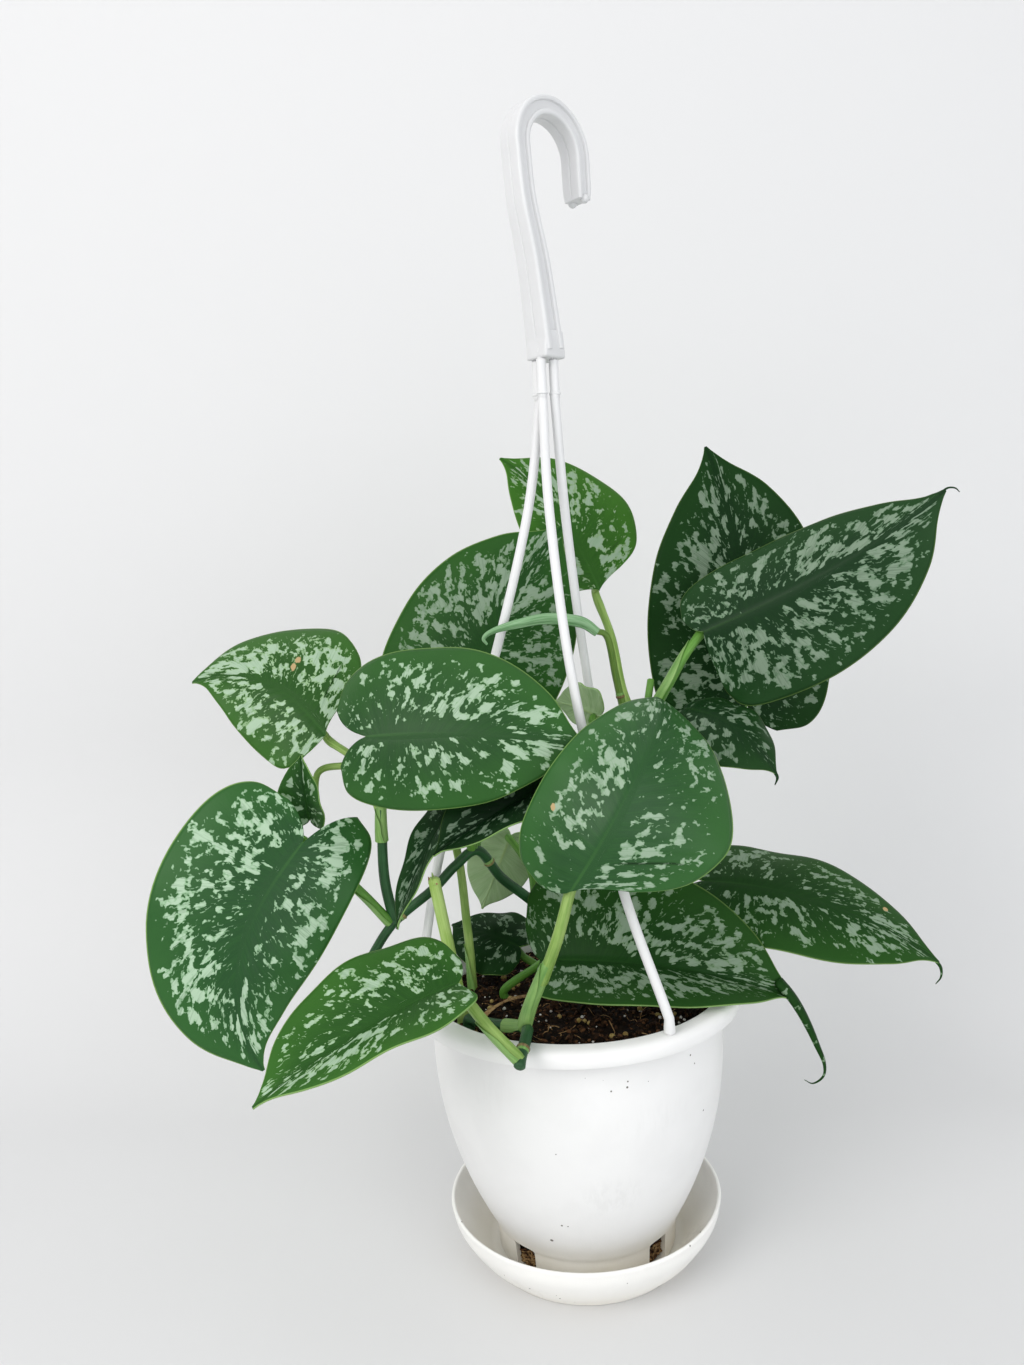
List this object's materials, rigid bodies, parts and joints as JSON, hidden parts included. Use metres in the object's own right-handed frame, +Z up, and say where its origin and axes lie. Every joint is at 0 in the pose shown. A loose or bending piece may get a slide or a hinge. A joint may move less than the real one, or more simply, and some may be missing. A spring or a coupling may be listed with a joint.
{
  "type": "potted hanging houseplant",
  "caption": "Satin pothos with silver-blotched heart-shaped leaves on climbing stems, in a white plastic hanging pot with a saucer and a stranded hook hanger.",
  "frame": {"origin": "centre of the saucer's flat underside, which stands on the ground", "axes": "+Z up along the pot's axis to the hanging hook, -Y towards the front of the plant, +X to its right"},
  "size_m": [0.3679, 0.2085, 0.5512],
  "materials": {
    "white_plastic": "smooth moulded",
    "potting_mix": "loose crumbly mix",
    "green_stem": "satin",
    "green_leaf": "satin, silver-blotched"
  },
  "bodies": {
    "root": {"saucer": "white_plastic", "pot": "white_plastic", "hook": "white_plastic", "strand_front": "white_plastic", "strand_left": "white_plastic", "strand_back": "white_plastic", "soil": "potting_mix", "vine_front": "green_stem", "vine_left": "green_stem", "vine_right": "green_stem", "petiole_middle": "green_stem", "petiole_low_right": "green_stem", "petiole_soil_back": "green_stem", "petiole_cut": "green_stem", "leaf_low_left": "green_leaf", "leaf_front_left": "green_leaf", "leaf_left": "green_leaf", "leaf_middle_left": "green_leaf", "leaf_front": "green_leaf", "leaf_centre_back": "green_leaf", "leaf_top": "green_leaf", "leaf_right_back": "green_leaf", "leaf_right": "green_leaf", "leaf_right_small": "green_leaf", "leaf_low_right_back": "green_leaf", "leaf_low_right": "green_leaf", "leaf_soil_back": "green_leaf", "leaf_left_edge": "green_leaf", "leaf_inner_left": "green_leaf", "leaf_inner": "green_leaf", "leaf_back_pale": "green_leaf", "leaf_back_dark": "green_leaf", "leaf_rolled": "green_leaf"}
  },
  "joints": []
}
